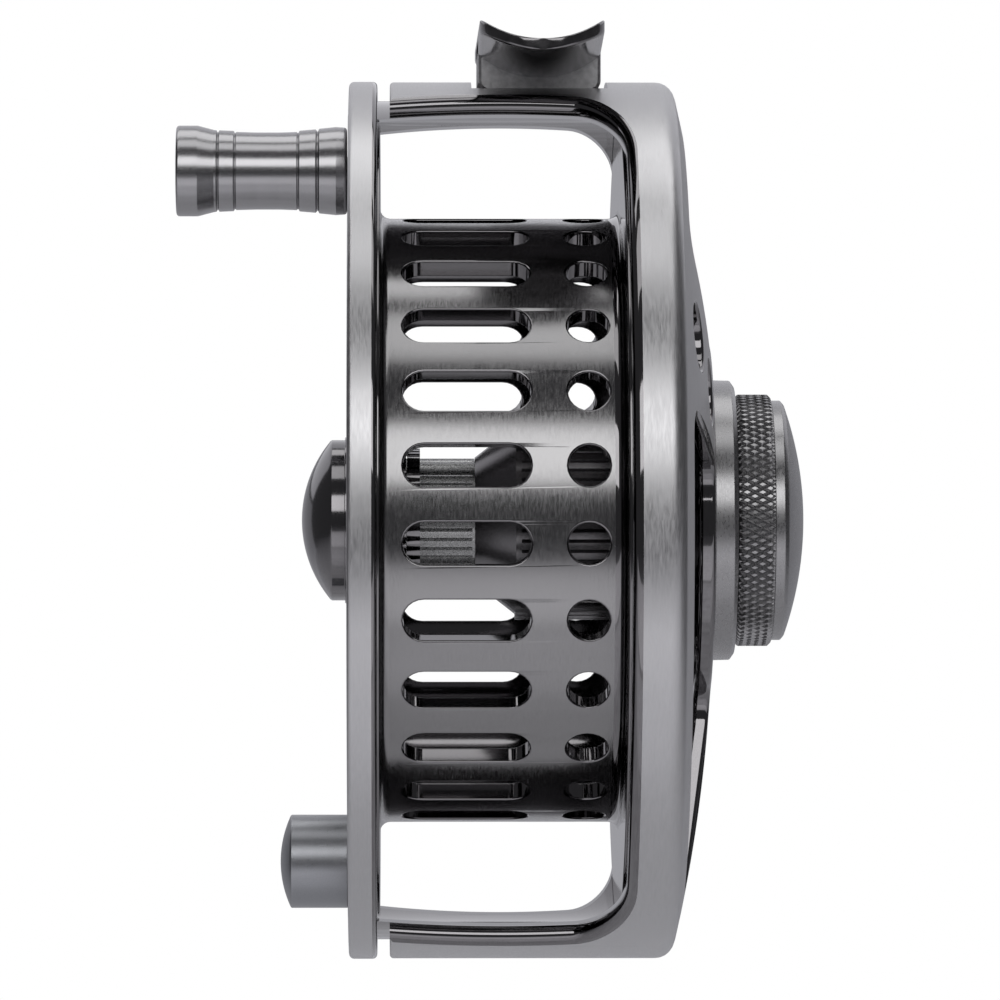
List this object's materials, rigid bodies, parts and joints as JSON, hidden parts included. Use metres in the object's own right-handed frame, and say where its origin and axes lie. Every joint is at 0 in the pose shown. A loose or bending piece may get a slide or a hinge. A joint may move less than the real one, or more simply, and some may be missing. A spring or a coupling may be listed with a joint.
{
  "type": "fly fishing reel",
  "caption": "Large-arbor fly reel with a slotted spool, winding handle, counterweight, open frame, rod foot and a disc drag with a knurled knob",
  "frame": {"origin": "middle of the reel foot's saddle, where the reel meets the rod", "axes": "+X along the spindle towards the drag knob, +Y along the rod, +Z out of the saddle into the rod"},
  "size_m": [0.0681, 0.095, 0.0996],
  "materials": {
    "frame_anodised": "satin grey anodised, polished edges",
    "spool_anodised": "satin grey anodised, turned",
    "foot_anodised": "dark polished anodised",
    "dark_anodised": "black anodised",
    "drum_anodised": "dark ridged",
    "handle_bright": "bright turned",
    "weight_satin": "satin blue-grey",
    "cap_anodised": "bright anodised dome",
    "knob_anodised": "anodised, diamond knurl",
    "steel": "stainless",
    "bronze": "machined bronze",
    "carbon": "woven carbon friction disc",
    "rubber": "nitrile rubber"
  },
  "bodies": {
    "frame": {"frame": "frame_anodised", "reel_foot": "foot_anodised", "foot_screws": "steel", "spindle": "steel", "spindle_nut": "steel", "knob_retainer": "steel", "steel_discs": "steel", "bearing_inner_races": "steel", "pawl_pin": "steel", "pawl_spring": "steel", "back_ring": "knob_anodised", "drag_spring": "steel", "thrust_washer": "steel", "pressure_plate": "steel", "thrust_pins": "steel"},
    "drive": {"drive_sleeve": "steel", "sleeve_collar": "dark_anodised", "drag_drum": "drum_anodised", "drum_seal": "rubber", "drum_bush": "bronze", "clutch_shell": "steel", "clutch_rollers": "steel", "bearing_outer_races": "steel", "bearing_balls": "steel", "carbon_discs": "carbon", "click_gear": "bronze"},
    "spool": {"spool": "spool_anodised", "spool_hub": "dark_anodised", "counterweight": "weight_satin", "counterweight_screw": "steel", "handle_post": "steel", "handle_screw": "steel"},
    "handle": {"handle_knob": "handle_bright", "handle_bushes": "bronze"},
    "cap": {"spool_cap": "cap_anodised", "cap_collar": "bronze", "cap_oring": "rubber"},
    "knob": {"drag_knob": "knob_anodised", "knob_cap": "knob_anodised", "knob_insert": "bronze"},
    "nut": {"drag_nut": "bronze"},
    "pawl": {"click_pawl": "steel"}
  },
  "joints": [
    {"name": "drive_spin", "type": "hinge", "parent": "frame", "child": "drive", "pos_m": [0, 0, -0.0503], "axis": [1, 0, 0], "continuous": true},
    {"name": "spool_release", "type": "slide", "parent": "drive", "child": "spool", "axis": [-1, 0, 0], "range_m": [0, 0.034]},
    {"name": "handle_spin", "type": "hinge", "parent": "spool", "child": "handle", "pos_m": [-0.03, 0, -0.0124], "axis": [1, 0, 0], "continuous": true},
    {"name": "cap_turn", "type": "hinge", "parent": "spool", "child": "cap", "pos_m": [-0.022, 0, -0.0503], "axis": [1, 0, 0], "range_deg": [0, 90]},
    {"name": "drag_knob_turn", "type": "hinge", "parent": "frame", "child": "knob", "pos_m": [0.024, 0, -0.0503], "axis": [1, 0, 0], "range_deg": [0, 360]},
    {"name": "drag_nut_travel", "type": "slide", "parent": "frame", "child": "nut", "axis": [-1, 0, 0], "range_m": [0, 0.0008], "deforming": ["drag_spring"]},
    {"name": "click_pawl_rock", "type": "hinge", "parent": "frame", "child": "pawl", "pos_m": [0.0105, 0, -0.0713], "axis": [1, 0, 0], "range_deg": [-18, 18], "stiffness_Nm_per_rad": 0.002}
  ],
  "couplings": [
    {"joint": "drag_nut_travel", "follows": "drag_knob_turn", "m_per_rad": 0.00012732}
  ]
}
